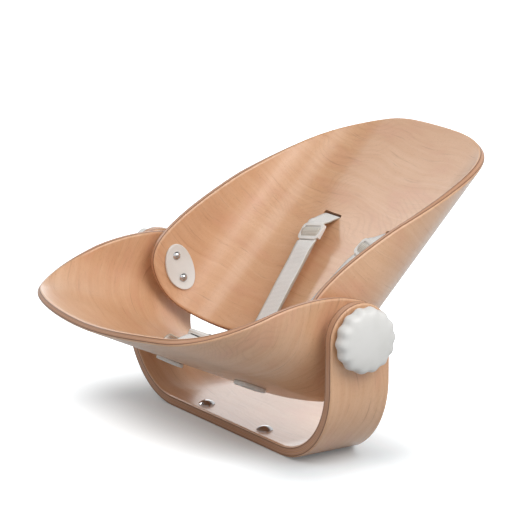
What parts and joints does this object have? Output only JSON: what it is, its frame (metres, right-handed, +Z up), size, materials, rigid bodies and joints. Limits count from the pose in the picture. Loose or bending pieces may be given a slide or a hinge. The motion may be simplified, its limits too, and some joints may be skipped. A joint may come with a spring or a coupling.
{
  "type": "bouncer seat",
  "caption": "Bentwood infant bouncer seat: two bent plywood shells with a webbing harness tilt between the arms of a U-shaped plywood base and are held by lobed side knobs.",
  "frame": {"origin": "centre of the base board's underside, on the floor below the pivot axis", "axes": "+X towards the head end, +Y towards the occupant's right along the pivot axis, +Z up"},
  "size_m": [0.4477, 0.423, 0.2901],
  "materials": {
    "beech_ply": "clear satin lacquer on bent beech plywood",
    "white_plastic": "moulded, satin",
    "grey_plastic": "moulded, satin",
    "chrome": "polished",
    "steel": "zinc plated",
    "brass": "turned",
    "fibre": "pressed friction fibre",
    "webbing": "ribbed woven webbing"
  },
  "bodies": {
    "base": {"base_frame": "beech_ply", "base_cap_nuts": "chrome"},
    "seat": {"front_shell": "beech_ply", "back_shell": "beech_ply", "crotch_strap": "webbing", "crotch_retainer": "white_plastic", "buckle_body": "white_plastic", "left_oval_plate": "white_plastic", "right_oval_plate": "white_plastic", "left_plate_screws": "chrome", "right_plate_screws": "chrome", "left_hub_spacer": "white_plastic", "right_hub_spacer": "white_plastic", "left_hub_plate": "white_plastic", "right_hub_plate": "white_plastic", "left_friction_washer": "fibre", "right_friction_washer": "fibre", "left_pivot_bolt": "steel", "right_pivot_bolt": "steel", "left_shoulder_strap": "webbing", "right_shoulder_strap": "webbing", "left_back_retainer": "white_plastic", "right_back_retainer": "white_plastic", "left_lap_strap": "webbing", "right_lap_strap": "webbing", "left_lap_retainer": "white_plastic", "right_lap_retainer": "white_plastic", "left_buckle_tongue": "white_plastic", "right_buckle_tongue": "white_plastic"},
    "left_knob": {"left_knob": "white_plastic", "left_knob_insert": "brass"},
    "right_knob": {"right_knob": "white_plastic", "right_knob_insert": "brass"},
    "left_slider": {"left_strap_slider": "white_plastic"},
    "right_slider": {"right_strap_slider": "white_plastic"},
    "button": {"buckle_button": "grey_plastic"}
  },
  "joints": [
    {"name": "seat_tilt", "type": "hinge", "parent": "base", "child": "seat", "pos_m": [0, 0, 0.137], "axis": [0, 1, 0], "range_deg": [-15, 30]},
    {"name": "left_knob_turn", "type": "hinge", "parent": "seat", "child": "left_knob", "pos_m": [0, -0.2, 0.137], "axis": [0, -1, 0], "range_deg": [0, 360]},
    {"name": "right_knob_turn", "type": "hinge", "parent": "seat", "child": "right_knob", "pos_m": [0, 0.2, 0.137], "axis": [0, 1, 0], "range_deg": [0, 360]},
    {"name": "left_slider_slide", "type": "slide", "parent": "seat", "child": "left_slider", "axis": [-0.6652, 0.2103, -0.7164], "range_m": [0, 0.045]},
    {"name": "right_slider_slide", "type": "slide", "parent": "seat", "child": "right_slider", "axis": [-0.6652, -0.2103, -0.7164], "range_m": [0, 0.045]},
    {"name": "button_press", "type": "slide", "parent": "seat", "child": "button", "axis": [-0.4226, 0, -0.9063], "range_m": [0, 0.0025], "stiffness_N_per_m": 1500}
  ]
}
